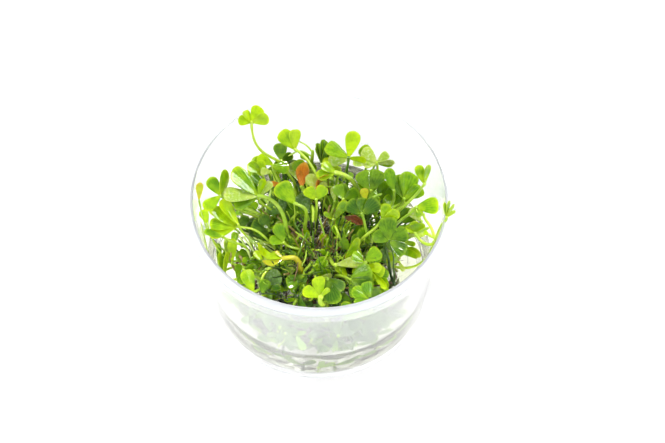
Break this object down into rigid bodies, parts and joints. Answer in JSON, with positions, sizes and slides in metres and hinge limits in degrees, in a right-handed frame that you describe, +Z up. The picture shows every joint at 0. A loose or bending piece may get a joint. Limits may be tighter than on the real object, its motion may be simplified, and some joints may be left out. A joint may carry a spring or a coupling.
{
  "type": "tissue culture aquarium plant",
  "caption": "Open clear plastic culture cup holding a disc of nutrient gel, a tangle of dark roots and a clump of small green water-clover leaves on thin stalks.",
  "frame": {"origin": "centre of the cup's foot, on the surface it stands on", "axes": "+Z up through the middle of the cup's mouth, -Y towards the viewer of the picture, +X to that viewer's right"},
  "size_m": [0.1, 0.1, 0.0713],
  "materials": {
    "clear_plastic": "clear, slightly milky, glossy",
    "nutrient_gel": "clear wet gel",
    "roots": "wet, dark brown fibres",
    "leaf_bright": "thin wet leaf, bright yellow-green",
    "leaf_pale": "water-soaked, see-through pale leaf",
    "leaf_dark": "thin wet leaf, dark green",
    "leaf_green": "thin wet leaf, mid green",
    "leaf_yellow": "yellowing leaf",
    "leaf_dead": "dead red-brown leaf",
    "leaf_orange": "orange-brown dying leaf"
  },
  "bodies": {
    "root": {"cup": "clear_plastic", "gel": "nutrient_gel", "root_mat": "roots", "tall_clover": "leaf_bright", "big_round_leaf": "leaf_bright", "fan_clover": "leaf_bright", "heart_at_the_back": "leaf_bright", "spoon_at_the_back": "leaf_bright", "left_clover": "leaf_bright", "pale_clover_at_the_back": "leaf_pale", "rabbit_ears": "leaf_bright", "right_round_leaf": "leaf_bright", "climbing_plantlet": "leaf_bright", "large_dark_clover": "leaf_dark", "round_leaf_by_the_front": "leaf_dark", "glossy_front_leaf": "leaf_dark", "funnel_at_the_front": "leaf_bright", "heart_on_the_right": "leaf_bright", "bluish_clover": "leaf_dark", "twin_leaves": "leaf_bright", "spoon_on_the_right": "leaf_green", "arching_stalk": "leaf_bright", "pleated_fan": "leaf_green", "round_on_the_left": "leaf_pale", "front_left_leaf": "leaf_bright", "sideways_clover": "leaf_bright", "yellow_leaf_at_the_left": "leaf_yellow", "oval_leaf_at_the_left": "leaf_bright", "upright_leaf": "leaf_bright", "narrow_pair": "leaf_bright", "drooping_dark_leaf": "leaf_dark", "arching_yellow_leaf": "leaf_yellow", "pale_leaf_in_the_middle": "leaf_pale", "teal_clover": "leaf_dark", "dark_round_leaf": "leaf_dark", "triangular_leaf": "leaf_green", "leaf_by_the_bend": "leaf_bright", "round_leaf_on_the_right": "leaf_green", "pale_front_leaf": "leaf_pale", "brown_tipped_leaf": "leaf_yellow", "dead_leaf": "leaf_dead", "bright_leaf_in_the_middle": "leaf_bright", "orange_leaf": "leaf_orange", "orange_edged_leaf": "leaf_pale", "translucent_leaf": "leaf_pale", "dark_leaf_at_the_back": "leaf_dark", "folded_clover_at_the_back": "leaf_dark", "clover_at_the_back": "leaf_bright", "pink_bud": "leaf_orange", "dark_wedge_leaf": "leaf_dark", "dark_clover_on_the_right": "leaf_dark", "curled_leaf_on_the_right": "leaf_yellow", "diagonal_leaf": "leaf_green", "small_front_leaf": "leaf_bright", "front_right_leaf": "leaf_green", "leaf_by_the_front_wall": "leaf_pale", "low_leaf_by_the_front_wall": "leaf_pale", "low_leaf_at_the_front_left": "leaf_green"}
  },
  "joints": []
}
